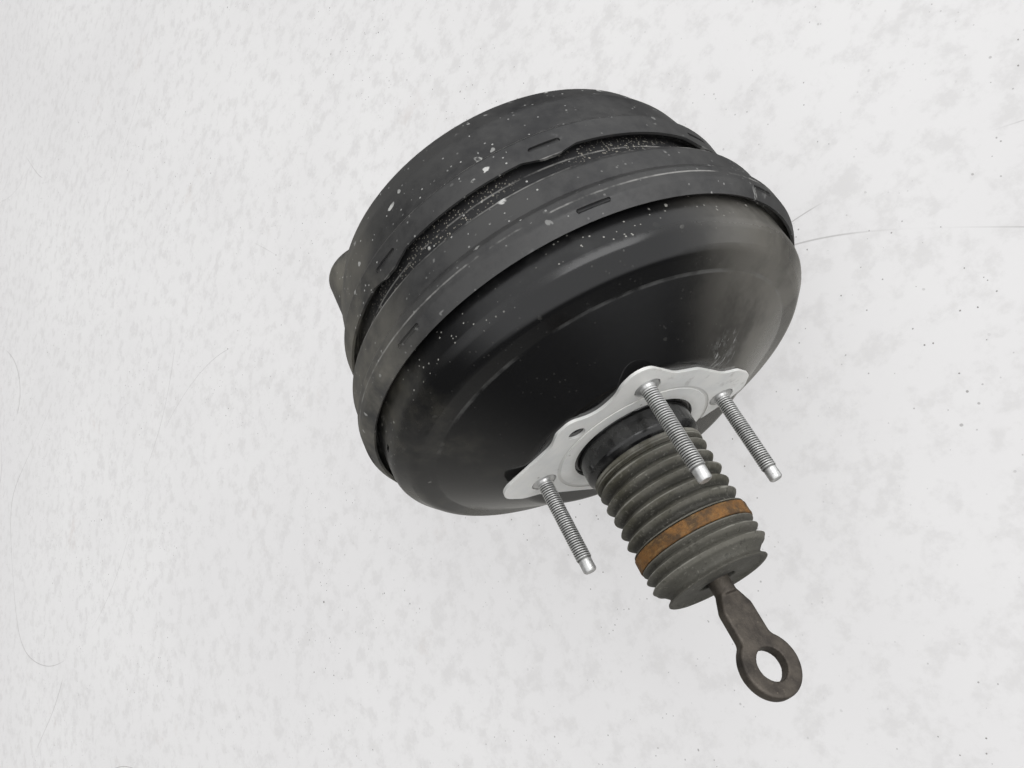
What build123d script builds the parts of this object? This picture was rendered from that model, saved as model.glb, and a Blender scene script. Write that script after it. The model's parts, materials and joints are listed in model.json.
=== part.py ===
from build123d import *
from math import cos, hypot, radians, sin
import os

# Tandem vacuum brake booster, in millimetres.
# The booster axis is Y. The origin is the centre of the bulkhead mounting face,
# -Y points to the brake pedal, +Y to the master cylinder, +Z is up in the car.
# Angles round the axis run from +Z towards +X.

# Pressed steel housing
SHELL_T = 1.4
PLATE_T = 1.5
BODY_R = 119.9
REAR_PAD_MARGIN = 2.0
CREASE_INSET = 18.9
CREASE_Y = 22.8
BODY_CORNER = 8.0
BAND_STEP = 7.8
LIP_Y = 47.0
LIP_DROP = 3.7
REAR_FLANGE_Y = 55.5
WAIST_DEPTH = 15.0
WAIST_Y = 79.2
FRONT_FLANGE_Y = 103.0
RIM_STEP = 6.1
RIM_Y = 95.5
SHOULDER_Y = 107.8
NOSE_INSET = 6.5
NOSE_CORNER = 6.0
FACE_Y = 148.0
PAD_Y = 168.7
PAD_R = 54.0
PAD_SLOPE = 24.0
CLAMP_GAP = 0.1

# Lances that lock the housing rims
LANCE_COUNT = 8
LANCE_LENGTH = 16.0
LANCE_WIDTH = 2.6
LANCE_LAND = 2.6
REAR_LANCE_WIDTH = 1.5
RIM_EAR_Y = 92.5
RIM_EAR_TIP_ANGLE = 1.8
RIM_EAR_ROOT_ANGLE = 6.6

# Neck and its guide
NECK_GAP = 8.1
NECK_ROOT_BEND = 1.8
NECK_END_Y = -18.5
NECK_SEAT_GAP = 4.7
NECK_STEP_Y = -12.0
NECK_STEP_SLOPE = 1.5
SEAL_LENGTH = 8.0
BEARING_LENGTH = 3.6
RETAINER_T = 1.9

# Bulkhead studs (M8) and mounting plate
STUD_R = 4.0
STUD_SHANK_R = 4.6
STUD_X = 39.0
STUD_Z = 34.0
STUD_LENGTH = 52.0
STUD_POINT = 6.5
STUD_COLLAR_R = 6.7
STUD_HEAD_R = 9.0
STUD_HEAD_T = 3.0
PLATE_BORE_GAP = 2.5
PLATE_GROOVE_R = 43.0
LOCATING_HOLE_R = 4.5
LOCATING_HOLE_X = 2.0
LOCATING_HOLE_Z = 49.0

# Master cylinder end
FRONT_STUD_X = 42.0
FRONT_STUD_LENGTH = 24.0
FRONT_STUD_HEAD_R = 6.0
PILOT_R = 20.7
REINFORCEMENT_T = 3.0

# Vacuum port boss
BOSS_ANGLE = -41.0
BOSS_R = 24.0
BOSS_INSET = 0.3
BOSS_CORNER = 5.0
BOSS_Y = 165.0
PORT_HOLE_R = 11.0
PORT_BORE_R = 8.75
GROMMET_LIP = 3.0

# Sliding valve body
TUBE_R = 23.5
TUBE_END_Y = -62.0
TUBE_WALL = 3.0
HUB_STEP = 4.5
REAR_HUB_Y = 15.0
FRONT_HUB_Y = 88.8
SNOUT_INSET = 1.6
SNOUT_Y = 95.5
POPPET_SEAT_Y = -26.0
POPPET_REACH = 13.0
POPPET_LIP_T = 2.0
VALVE_STEP = 2.5
VALVE_FLOOR_Y = -7.0
VACUUM_SEAT_R = 14.0
PLUNGER_R = 8.5
NOSE_PIN_R = 6.0
REACTION_R = 15.0
REACTION_Y = 84.0
REACTION_T = 8.0
GUIDE_CLEARANCE = 0.05
FREE_CLEARANCE = 0.3
PLUNGER_TRAVEL = 1.5

# Diaphragms and their support plates
RUBBER_T = 1.8
SUPPORT_T = 1.5
DIVIDER_T = 1.2
DIVIDER_Y = 83.5
DIVIDER_CLEARANCE = 0.5
DIVIDER_SEAL_GAP = 5.0
DIVIDER_SEAL_LENGTH = 10.0
REAR_FOLD_GAP = 15.0
FRONT_FOLD_GAP = 8.4
SUPPORT_RIM = 5.0

# Stop key
KEY_T = 3.2
KEY_WIDTH = 20.0
KEY_REACH = 27.5

# Push rod and its eye
BALL_R = 5.0
BALL_Y = -2.0
ROD_R = 4.6
ROD_END_R = 5.4
ROD_END_Y = -76.0
ROD_NECK_R = 3.8
EYE_Y = -126.0
EYE_R = 15.5
EYE_BORE_R = 7.8
EYE_T = 6.0
EYE_EDGE = 1.2
EYE_TURN = 22.0
SHANK_WIDTH = 18.0
SHANK_Y = -95.5

# Output rod
OUTPUT_R = 7.5
OUTPUT_TIP_R = 5.0
OUTPUT_TIP_LENGTH = 14.0
OUTPUT_END_Y = 152.0

# Dust boot
BOOT_BORE_GAP = 1.5
BOOT_WALL = 2.2
FOLD_DEPTH = 3.4
BOOT_PITCH = 7.1
BOOT_FIRST_PEAK_Y = -21.2
BOOT_FRONT_FOLDS = 5
BOOT_REAR_GAP = 5.0
BOOT_REAR_PITCH = 5.6
BOOT_REAR_FOLDS = 2
BOOT_CUFF_GAP = 0.8
BOOT_END_Y = -83.5
BOOT_END_INSET = 3.9
BOOT_WAIST_INSET = 6.1
BOOT_LIP = 4.4
RING_Y = -60.4
RING_WIDTH = 6.8
RING_T = 2.1

# Springs
RETURN_SPRING_R = 33.4
RETURN_WIRE_R = 1.8
RETURN_TURNS = 5
VALVE_SPRING_R = 9.8
VALVE_WIRE_R = 0.6
INPUT_SPRING_R = 15.0
INPUT_WIRE_R = 0.9
VALVE_SPRING_TURNS = 3

# Air inlet
FILTER_BORE_R = 8.6
FILTER_T = 5.8
SILENCER_T = 4.6
SPRING_SEAT_Y = -47.4
SPRING_SEAT_T = 1.2
POPPET_RETAINER_Y = -29.0
POPPET_RETAINER_T = 2.0


def turned(*points):
    """Revolve a closed (radius, y) outline about the booster axis."""
    return revolve(make_face(Polyline(*points, close=True)), Axis.Y)


def sheet(points, bends, thickness):
    """Revolve a sheet of even thickness whose middle follows (radius, y) points."""
    return revolve(trace(FilletPolyline(*points, radius=bends), thickness), Axis.Y)


def ring(inner, outer, y0, y1):
    """Plain ring, or a disc when inner is zero."""
    return turned((inner, y0), (outer, y0), (outer, y1), (inner, y1))


def rod(radius, y0, y1, x=0.0, z=0.0):
    """Round bar parallel to the booster axis."""
    return Pos(x, (y0 + y1) / 2, z) * Rot(X=90) * Cylinder(radius, y1 - y0)


def slab(sketch, y0, y1):
    """Plate whose outline is drawn in (x, z)."""
    return extrude(Plane.XZ.offset(-y1) * sketch, y1 - y0)


def coil(radius, wire, y0, y1, turns):
    """Compression spring whose wire just touches the planes y0 and y1."""
    height = y1 - y0 - 2 * wire
    path = Helix(height / turns, height, radius)
    start = Plane(origin=path @ 0, z_dir=path % 0)
    spring = sweep(start * Circle(wire), path=path, is_frenet=True)
    return Pos(0, y1 - wire, 0) * Rot(X=90) * spring


def around(shape, angle):
    """Turn a shape built at +Z to an angle round the booster axis."""
    return Rot(Y=angle) * shape


def lance_slots(radius, y, width):
    """Short slots cut through a rim where its lances are pushed in."""
    sketch = SlotOverall(LANCE_LENGTH, width)
    slot = extrude(Plane.XY.offset(radius - 6) * Pos(0, y) * sketch, 12)
    return [around(slot, 360 / LANCE_COUNT * i) for i in range(LANCE_COUNT)]


def lance_tongues(radius, y, width, lean):
    """Tongues of the lances, bent inwards from one edge of each slot."""
    tongue = Box(LANCE_LENGTH - 1.0, width, SHELL_T * 0.8)
    placed = Pos(0, y, radius) * Rot(X=lean) * tongue
    return [around(placed, 360 / LANCE_COUNT * i) for i in range(LANCE_COUNT)]


# Stations shared by neighbouring pieces
crease_r = BODY_R - CREASE_INSET
band_r = BODY_R + BAND_STEP
waist_r = band_r - WAIST_DEPTH
rim_r = waist_r + RIM_STEP
nose_r = rim_r - NOSE_INSET
pad_inner_y = PLATE_T + SHELL_T
pad_middle_y = PLATE_T + SHELL_T / 2
rear_pad_r = hypot(STUD_X, STUD_Z) + STUD_HEAD_R + REAR_PAD_MARGIN
dish_rise = CREASE_Y - pad_middle_y
retainer_front_y = pad_inner_y + RETAINER_T
key_y = retainer_front_y + 0.2
front_pad_middle_y = PAD_Y - SHELL_T / 2
front_pad_inner_y = PAD_Y - SHELL_T
spring_front_y = front_pad_inner_y - REINFORCEMENT_T
chamber_r = TUBE_R - TUBE_WALL
valve_chamber_r = chamber_r - VALVE_STEP
hub_r = TUBE_R + HUB_STEP
snout_r = hub_r - SNOUT_INSET
neck_r = TUBE_R + NECK_GAP
neck_seat_r = TUBE_R + NECK_SEAT_GAP
plate_bore_r = neck_r + PLATE_BORE_GAP
neck_inner_r = neck_r - SHELL_T
divider_seal_r = hub_r + DIVIDER_SEAL_GAP
divider_lip_y = DIVIDER_Y - DIVIDER_SEAL_LENGTH
boot_bore_r = TUBE_R + BOOT_BORE_GAP
boot_valley_r = boot_bore_r + BOOT_WALL
boot_peak_r = boot_valley_r + FOLD_DEPTH
boot_end_r = boot_peak_r - BOOT_END_INSET
boot_waist_r = boot_peak_r - BOOT_WAIST_INSET
ring_front_y = RING_Y + RING_WIDTH / 2
ring_rear_y = RING_Y - RING_WIDTH / 2
rear_rubber_y = REAR_HUB_Y + 0.1 + RUBBER_T / 2
rear_support_y = rear_rubber_y + RUBBER_T / 2 + 0.1 + SUPPORT_T / 2
front_rubber_y = FRONT_HUB_Y + 0.1 + RUBBER_T / 2
front_support_y = front_rubber_y + RUBBER_T / 2 + 0.1 + SUPPORT_T / 2
divider_r = waist_r - SHELL_T / 2 - DIVIDER_T / 2 - DIVIDER_CLEARANCE
divider_flange_y = FRONT_FLANGE_Y + SHELL_T / 2 + DIVIDER_T / 2 + 0.05
front_wall_r = divider_r - DIVIDER_T / 2 - RUBBER_T / 2 - 1.0
boot_cuff_y = NECK_STEP_Y - NECK_STEP_SLOPE - BOOT_CUFF_GAP
boss_center_r = nose_r - BOSS_R - BOSS_INSET
boss_x = boss_center_r * sin(radians(BOSS_ANGLE))
boss_z = boss_center_r * cos(radians(BOSS_ANGLE))

front_points = [
    (rim_r, RIM_EAR_Y),
    (rim_r, SHOULDER_Y),
    (rim_r - 2.5, SHOULDER_Y + 2.4),
    (nose_r, FACE_Y - 16),
    (nose_r - 7, FACE_Y),
    (PAD_R + PAD_SLOPE, FACE_Y),
    (PAD_R, front_pad_middle_y),
    (PILOT_R, front_pad_middle_y),
]
front_bends = [1.5, 1.5, 12, NOSE_CORNER, 5, 5]


def front_shell():
    shell = sheet(front_points, front_bends, SHELL_T)
    half_pitch = 180 / LANCE_COUNT
    tip = rim_r * sin(radians(half_pitch - RIM_EAR_TIP_ANGLE))
    root = rim_r * sin(radians(half_pitch - RIM_EAR_ROOT_ANGLE))
    scallop = Polyline(
        (-tip - 1, RIM_EAR_Y - 1),
        (-tip, RIM_EAR_Y),
        (-root, RIM_Y),
        (root, RIM_Y),
        (tip, RIM_EAR_Y),
        (tip + 1, RIM_EAR_Y - 1),
        close=True,
    )
    cut = extrude(Plane.XY.offset(rim_r - 20) * make_face(scallop), 30)
    shell -= [around(cut, half_pitch * (2 * i + 1)) for i in range(LANCE_COUNT)]
    shell -= lance_slots(rim_r, FRONT_FLANGE_Y - LANCE_LAND, LANCE_WIDTH)
    shell += lance_tongues(rim_r - 0.6, FRONT_FLANGE_Y - LANCE_LAND - 0.3, LANCE_WIDTH, -14)

    path = FilletPolyline(*front_points, radius=front_bends)
    inside = make_face([path, Polyline(path @ 1, (0, PAD_Y), (0, RIM_EAR_Y), path @ 0)])
    boss = rod(BOSS_R, FACE_Y - 22, BOSS_Y, boss_x, boss_z)
    boss = fillet(boss.edges().sort_by(Axis.Y)[-1], BOSS_CORNER)
    hollow = rod(BOSS_R - SHELL_T, FACE_Y - 24, BOSS_Y - SHELL_T, boss_x, boss_z)
    hollow = fillet(hollow.edges().sort_by(Axis.Y)[-1], BOSS_CORNER - SHELL_T)
    shell -= hollow
    shell += boss - hollow - revolve(inside, Axis.Y)
    shell -= rod(PORT_HOLE_R, BOSS_Y - 10, BOSS_Y + 1, boss_x, boss_z)
    for side in (-1, 1):
        shell -= rod(STUD_SHANK_R + 0.02, PAD_Y - 5, PAD_Y + 1, side * FRONT_STUD_X)
    return shell


def vacuum_grommet():
    inner_face = BOSS_Y - SHELL_T
    profile = turned(
        (PORT_BORE_R, inner_face - GROMMET_LIP),
        (PORT_HOLE_R + 2, inner_face - GROMMET_LIP),
        (PORT_HOLE_R + 2, inner_face),
        (PORT_HOLE_R, inner_face),
        (PORT_HOLE_R, BOSS_Y),
        (PORT_HOLE_R + 3.5, BOSS_Y),
        (PORT_HOLE_R + 3, BOSS_Y + GROMMET_LIP),
        (PORT_BORE_R, BOSS_Y + GROMMET_LIP),
    )
    return Pos(boss_x, 0, boss_z) * profile


def center_shell():
    points = [
        (band_r - LIP_DROP, LIP_Y),
        (band_r, LIP_Y + 6),
        (band_r, REAR_FLANGE_Y + 5),
        (band_r - 2.6, REAR_FLANGE_Y + 8.6),
        (band_r - 3.0, WAIST_Y),
        (waist_r, WAIST_Y),
        (waist_r, FRONT_FLANGE_Y),
        (rim_r - SHELL_T, FRONT_FLANGE_Y),
    ]
    shell = sheet(points, [3, 2, 2, 3.5, 2, 1.2], SHELL_T)
    shell -= lance_slots(band_r, REAR_FLANGE_Y - 3.4, REAR_LANCE_WIDTH)
    shell += lance_tongues(band_r - 0.7, REAR_FLANGE_Y - 3.6, REAR_LANCE_WIDTH + 0.4, -16)
    return shell


def rear_shell():
    points = [
        (neck_seat_r - SHELL_T / 2, NECK_END_Y),
        (neck_seat_r - SHELL_T / 2, NECK_STEP_Y - NECK_STEP_SLOPE),
        (neck_r - SHELL_T / 2, NECK_STEP_Y + NECK_STEP_SLOPE),
        (neck_r - SHELL_T / 2, pad_middle_y),
        (rear_pad_r, pad_middle_y),
        (crease_r, CREASE_Y),
        (BODY_R - BODY_CORNER, CREASE_Y + 2.6),
        (BODY_R, CREASE_Y + 11),
        (BODY_R, REAR_FLANGE_Y - 2),
        (band_r - 1.5, REAR_FLANGE_Y),
    ]
    shell = sheet(points, [1, 1, NECK_ROOT_BEND, 8, 1.6, 8, 6, 1.2], SHELL_T)
    for x in (-STUD_X, STUD_X):
        for z in (-STUD_Z, STUD_Z):
            shell -= rod(STUD_SHANK_R + 0.02, 0, 8, x, z)
    shell -= around(Pos(0, CREASE_Y + 15, BODY_R) * Box(6, 2.2, 12), -32)
    return shell


def mounting_plate():
    corners = [
        (-54, 58.5, 13),
        (-9, 56.5, 14),
        (0, 62, 6),
        (9.5, 61.5, 6),
        (17, 50, 12),
        (30, 49, 14),
        (38, 53, 12),
        (52.5, 53, 9),
        (51, 25, 14),
        (56, 11, 12),
        (55.5, -13, 14),
        (59.5, -22, 7),
        (58.5, -35, 8),
        (49, -44, 9),
        (35, -43.5, 9),
        (16, -37, 16),
        (-16, -37, 16),
        (-35, -43.5, 9),
        (-47.5, -43.5, 10),
        (-46, -20, 20),
        (-50, 27, 14),
        (-54, 36, 10),
    ]
    path = FilletPolyline(
        *[(x, z) for x, z, bend in corners],
        radius=[bend for x, z, bend in corners],
        close=True,
    )
    outline = make_face(path)
    outline -= Circle(plate_bore_r)
    outline -= Pos(LOCATING_HOLE_X, LOCATING_HOLE_Z) * Circle(LOCATING_HOLE_R)
    for x in (-STUD_X, STUD_X):
        for z in (-STUD_Z, STUD_Z):
            outline -= Pos(x, z) * Circle(STUD_COLLAR_R + FREE_CLEARANCE)
    groove = ring(PLATE_GROOVE_R - 1, PLATE_GROOVE_R + 1, -1, PLATE_T * 0.3)
    return slab(outline, 0, PLATE_T) - groove


def bulkhead_stud(x, z):
    head_y = pad_inner_y + STUD_HEAD_T
    stud = turned(
        (0, head_y),
        (STUD_HEAD_R, head_y),
        (STUD_HEAD_R, pad_inner_y),
        (STUD_SHANK_R, pad_inner_y),
        (STUD_SHANK_R, PLATE_T),
        (STUD_COLLAR_R, PLATE_T),
        (STUD_COLLAR_R - 0.6, 0.3),
        (STUD_R, 0.3),
        (STUD_R, STUD_POINT - STUD_LENGTH),
        (STUD_R - 0.6, STUD_POINT - STUD_LENGTH - 0.6),
        (STUD_R - 0.6, 0.6 - STUD_LENGTH),
        (STUD_R - 1.2, -STUD_LENGTH),
        (0, -STUD_LENGTH),
    )
    return Pos(x, 0, z) * stud


def front_stud(x):
    stud = turned(
        (0, spring_front_y - 3),
        (FRONT_STUD_HEAD_R, spring_front_y - 3),
        (FRONT_STUD_HEAD_R, spring_front_y),
        (STUD_SHANK_R, spring_front_y),
        (STUD_SHANK_R, PAD_Y),
        (STUD_R, PAD_Y),
        (STUD_R, PAD_Y + FRONT_STUD_LENGTH - 1),
        (STUD_R - 1, PAD_Y + FRONT_STUD_LENGTH),
        (0, PAD_Y + FRONT_STUD_LENGTH),
    )
    return Pos(x, 0, 0) * stud


def front_reinforcement():
    plate = ring(PILOT_R, PAD_R - 4, spring_front_y, front_pad_inner_y)
    for side in (-1, 1):
        plate -= rod(STUD_SHANK_R + 0.02, spring_front_y - 1, PAD_Y, side * FRONT_STUD_X)
    return plate


def neck_bearing():
    inner = TUBE_R + GUIDE_CLEARANCE
    return ring(inner, neck_inner_r - 0.05, pad_inner_y - BEARING_LENGTH, pad_inner_y)


def neck_seal():
    front = pad_inner_y - BEARING_LENGTH - 0.1
    seal = turned(
        (TUBE_R + FREE_CLEARANCE, front - SEAL_LENGTH),
        (TUBE_R + 2.2, front - SEAL_LENGTH),
        (TUBE_R + 3.4, front - 2.6),
        (neck_inner_r - 1.6, front - 2.6),
        (neck_inner_r - 0.9, front - SEAL_LENGTH),
        (neck_inner_r - 0.05, front - SEAL_LENGTH),
        (neck_inner_r - 0.05, front),
        (TUBE_R + FREE_CLEARANCE, front),
    )
    return seal


def bearing_retainer():
    return ring(TUBE_R + 0.6, neck_r + 3, pad_inner_y + 0.05, retainer_front_y)


def divider_plate():
    collar_r = divider_seal_r + DIVIDER_T / 2
    points = [
        (collar_r, divider_lip_y + 2),
        (collar_r, DIVIDER_Y),
        (divider_r, DIVIDER_Y),
        (divider_r, divider_flange_y),
        (rim_r - SHELL_T - 0.3, divider_flange_y),
    ]
    return sheet(points, [2, 3, 1.2], DIVIDER_T)


def divider_seal():
    return turned(
        (hub_r + FREE_CLEARANCE, divider_lip_y),
        (divider_seal_r + 1.5, divider_lip_y),
        (divider_seal_r + 1.5, divider_lip_y + 1.9),
        (divider_seal_r - 0.05, divider_lip_y + 1.9),
        (divider_seal_r - 0.05, DIVIDER_Y + 1.5),
        (hub_r + FREE_CLEARANCE, DIVIDER_Y + 1.5),
    )


def rear_diaphragm():
    points = [
        (hub_r + 0.3, rear_rubber_y),
        (rear_pad_r, rear_rubber_y),
        (crease_r, rear_rubber_y + dish_rise - 2.8),
        (crease_r + 8, rear_rubber_y + dish_rise - 2.2),
        (BODY_R - 3.2, rear_rubber_y + dish_rise + 3.4),
        (BODY_R - 3.2, REAR_FLANGE_Y + 0.5),
        (BODY_R + 1.5, REAR_FLANGE_Y + 2.8),
    ]
    skin = sheet(points, [4, 4, 3, 4, 2], RUBBER_T)
    bead_y = REAR_FLANGE_Y + SHELL_T / 2 + CLAMP_GAP
    bead = ring(BODY_R - 1, band_r - SHELL_T / 2 - 0.6, bead_y, bead_y + 3.6)
    return skin + bead


def front_diaphragm():
    bead_y = divider_flange_y + DIVIDER_T / 2 + CLAMP_GAP
    points = [
        (snout_r + 0.3, front_rubber_y),
        (front_wall_r - FRONT_FOLD_GAP - 3, front_rubber_y),
        (front_wall_r - FRONT_FOLD_GAP + 3, front_rubber_y - 2.5),
        (front_wall_r, front_rubber_y + 1.2),
        (front_wall_r, bead_y + 0.7),
        (front_wall_r + 4, bead_y + 1.5),
    ]
    skin = sheet(points, [3, 3, 2.5, 2], RUBBER_T)
    bead = ring(front_wall_r + 2.6, rim_r - SHELL_T / 2 - 0.5, bead_y, bead_y + 2.6)
    return skin + bead


def rear_plate():
    slope = (dish_rise - 2.8) / (crease_r - rear_pad_r)
    outer_r = BODY_R - REAR_FOLD_GAP - 5.6
    outer_y = rear_rubber_y + 2.07 + (outer_r - rear_pad_r) * slope
    points = [
        (hub_r + 0.3, rear_support_y),
        (rear_pad_r - 0.7, rear_support_y),
        (outer_r, outer_y),
        (outer_r + 3.9, outer_y + 2.4),
        (outer_r + 3.9, outer_y + 2.9 + SUPPORT_RIM),
    ]
    return sheet(points, [4, 2, 1.5], SUPPORT_T)


def front_plate():
    points = [
        (snout_r + 0.3, front_support_y),
        (front_wall_r - FRONT_FOLD_GAP - 4, front_support_y),
        (front_wall_r - FRONT_FOLD_GAP, front_support_y + 2.5),
        (front_wall_r - FRONT_FOLD_GAP, front_support_y + 2.5 + SUPPORT_RIM),
    ]
    return sheet(points, [3, 2], SUPPORT_T)


def rear_retainer():
    back = rear_support_y + SUPPORT_T / 2 + 0.05
    return ring(hub_r + 0.02, hub_r + 5, back, back + 2)


def front_retainer():
    back = front_support_y + SUPPORT_T / 2 + 0.05
    return turned(
        (OUTPUT_R + 0.3, SNOUT_Y + 0.05),
        (snout_r + 0.1, SNOUT_Y + 0.05),
        (snout_r + 0.1, back),
        (RETURN_SPRING_R - RETURN_WIRE_R - 0.6, back),
        (RETURN_SPRING_R - RETURN_WIRE_R - 0.6, SNOUT_Y + 1.6),
        (OUTPUT_R + 0.3, SNOUT_Y + 1.6),
    )


def valve_body():
    body = turned(
        (chamber_r, TUBE_END_Y),
        (TUBE_R, TUBE_END_Y),
        (TUBE_R, REAR_HUB_Y - 4),
        (hub_r + 10, REAR_HUB_Y - 4),
        (hub_r + 10, REAR_HUB_Y),
        (hub_r, REAR_HUB_Y),
        (hub_r, FRONT_HUB_Y),
        (snout_r, FRONT_HUB_Y),
        (snout_r, SNOUT_Y),
        (REACTION_R + 0.1, SNOUT_Y),
        (REACTION_R + 0.1, REACTION_Y),
        (NOSE_PIN_R + 0.1, REACTION_Y),
        (NOSE_PIN_R + 0.1, 24),
        (PLUNGER_R + GUIDE_CLEARANCE, 24),
        (PLUNGER_R + GUIDE_CLEARANCE, VALVE_FLOOR_Y),
        (VACUUM_SEAT_R, VALVE_FLOOR_Y),
        (VACUUM_SEAT_R, VALVE_FLOOR_Y - 4.9),
        (VACUUM_SEAT_R + 1.5, VALVE_FLOOR_Y - 4.9),
        (VACUUM_SEAT_R + 1.5, VALVE_FLOOR_Y),
        (valve_chamber_r, VALVE_FLOOR_Y),
        (valve_chamber_r, POPPET_SEAT_Y),
        (chamber_r, POPPET_SEAT_Y),
    )
    body -= Pos(0, key_y + KEY_T / 2, 0) * Box(KEY_WIDTH + 0.2, KEY_T + 0.2, 4 * TUBE_R)
    for side in (-1, 1):
        body -= rod(2.2, VALVE_FLOOR_Y - 1, SNOUT_Y + 1, side * valve_chamber_r)
    return body


def valve_plunger():
    flange_y = POPPET_SEAT_Y + POPPET_REACH + 0.3
    waist_front = key_y + KEY_T + 0.05
    waist_back = waist_front - KEY_T - PLUNGER_TRAVEL - 0.3
    body = turned(
        (0, flange_y),
        (VACUUM_SEAT_R - 1.5, flange_y),
        (VACUUM_SEAT_R - 1.5, flange_y + 3.2),
        (PLUNGER_R, flange_y + 3.2),
        (PLUNGER_R, waist_back),
        (NOSE_PIN_R, waist_back),
        (NOSE_PIN_R, waist_front),
        (PLUNGER_R, waist_front),
        (PLUNGER_R, 20),
        (NOSE_PIN_R, 20),
        (NOSE_PIN_R, REACTION_Y - PLUNGER_TRAVEL - 0.3),
        (0, REACTION_Y - PLUNGER_TRAVEL - 0.3),
    )
    socket_r = BALL_R + 0.08
    body -= Pos(0, BALL_Y, 0) * Sphere(socket_r)
    body -= rod(socket_r, flange_y + 0.8, BALL_Y)
    body -= rod(socket_r - 0.4, flange_y - 1, flange_y + 0.8)
    return body


def stop_key():
    key = Rectangle(KEY_WIDTH, 2 * KEY_REACH)
    key -= Circle(NOSE_PIN_R + 0.1)
    key -= Pos(0, -KEY_REACH / 2) * Rectangle(2 * NOSE_PIN_R + 0.2, KEY_REACH)
    return slab(key, key_y, key_y + KEY_T)


def poppet_valve():
    face_y = POPPET_SEAT_Y + POPPET_REACH
    return turned(
        (PLUNGER_R - 0.1, face_y),
        (VACUUM_SEAT_R + 2.5, face_y),
        (VACUUM_SEAT_R + 2.5, face_y - POPPET_LIP_T),
        (VACUUM_SEAT_R - 0.8, face_y - POPPET_LIP_T),
        (VACUUM_SEAT_R - 0.8, POPPET_SEAT_Y - 0.1),
        (chamber_r - 0.1, POPPET_SEAT_Y - 0.1),
        (chamber_r - 0.1, POPPET_RETAINER_Y + 0.1),
        (VALVE_SPRING_R + 1.8, POPPET_RETAINER_Y + 0.1),
        (VALVE_SPRING_R + 1.8, face_y - POPPET_LIP_T),
        (PLUNGER_R - 0.1, face_y - POPPET_LIP_T),
    )


def poppet_retainer():
    back = POPPET_RETAINER_Y - POPPET_RETAINER_T
    return turned(
        (FILTER_BORE_R, POPPET_RETAINER_Y),
        (chamber_r - 0.05, POPPET_RETAINER_Y),
        (chamber_r - 0.05, back - 2),
        (chamber_r - 1.4, back - 2),
        (chamber_r - 1.4, back),
        (FILTER_BORE_R, back),
    )


def reaction_disc():
    return ring(0, REACTION_R, REACTION_Y + 0.05, REACTION_Y + REACTION_T)


def output_rod():
    return turned(
        (0, REACTION_Y + REACTION_T + 0.05),
        (REACTION_R - 0.1, REACTION_Y + REACTION_T + 0.05),
        (REACTION_R - 0.1, SNOUT_Y),
        (OUTPUT_R, SNOUT_Y),
        (OUTPUT_R, OUTPUT_END_Y - OUTPUT_TIP_LENGTH),
        (OUTPUT_TIP_R, OUTPUT_END_Y - OUTPUT_TIP_LENGTH + 2),
        (OUTPUT_TIP_R, OUTPUT_END_Y - 1.5),
        (OUTPUT_TIP_R - 2, OUTPUT_END_Y),
        (0, OUTPUT_END_Y),
    )


def return_spring():
    back = front_support_y + SUPPORT_T / 2 + 0.05
    front = spring_front_y - 0.05
    return coil(RETURN_SPRING_R, RETURN_WIRE_R, back, front, RETURN_TURNS)


def poppet_spring():
    front = POPPET_SEAT_Y + POPPET_REACH - POPPET_LIP_T - 0.1
    back = POPPET_RETAINER_Y + 0.1
    return coil(VALVE_SPRING_R, VALVE_WIRE_R, back, front, VALVE_SPRING_TURNS)


def input_spring():
    back = SPRING_SEAT_Y + 0.05
    front = POPPET_RETAINER_Y - POPPET_RETAINER_T - 0.05
    return coil(INPUT_SPRING_R, INPUT_WIRE_R, back, front, VALVE_SPRING_TURNS)


def air_filter():
    y0 = TUBE_END_Y + 1
    return ring(FILTER_BORE_R, chamber_r - 0.1, y0, y0 + FILTER_T)


def silencer():
    y0 = TUBE_END_Y + 1 + FILTER_T + 0.3
    return ring(FILTER_BORE_R, chamber_r - 0.1, y0, y0 + SILENCER_T)


def spring_seat():
    seat = ring(ROD_R + 0.02, INPUT_SPRING_R + 2, SPRING_SEAT_Y - SPRING_SEAT_T, SPRING_SEAT_Y)
    return seat


def input_pushrod():
    rod_end = SHANK_Y + 5
    neck_end = BALL_Y - 14
    bar = rod(ROD_R, ROD_END_Y, neck_end) + rod(ROD_NECK_R, neck_end, BALL_Y)
    bar += rod(ROD_END_R, rod_end, ROD_END_Y)
    bar += Pos(0, BALL_Y, 0) * Sphere(BALL_R)
    half = SHANK_WIDTH / 2
    shank = make_face(
        Polyline(
            (-half, EYE_Y),
            (-half, SHANK_Y - 2),
            (-ROD_END_R, rod_end + 1),
            (ROD_END_R, rod_end + 1),
            (half, SHANK_Y - 2),
            (half, EYE_Y),
            close=True,
        )
    )
    eye = shank + Pos(0, EYE_Y) * Circle(EYE_R)
    eye = fillet(eye.vertices().sort_by(Axis.Y)[:4], 4)
    eye -= Pos(0, EYE_Y) * Circle(EYE_BORE_R)
    forging = extrude(eye, EYE_T / 2, both=True)
    forging = fillet(forging.faces().sort_by(Axis.Z)[-1].outer_wire().edges(), EYE_EDGE)
    forging = fillet(forging.faces().sort_by(Axis.Z)[0].outer_wire().edges(), EYE_EDGE)
    return bar + Rot(Y=90 - EYE_TURN) * forging


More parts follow.
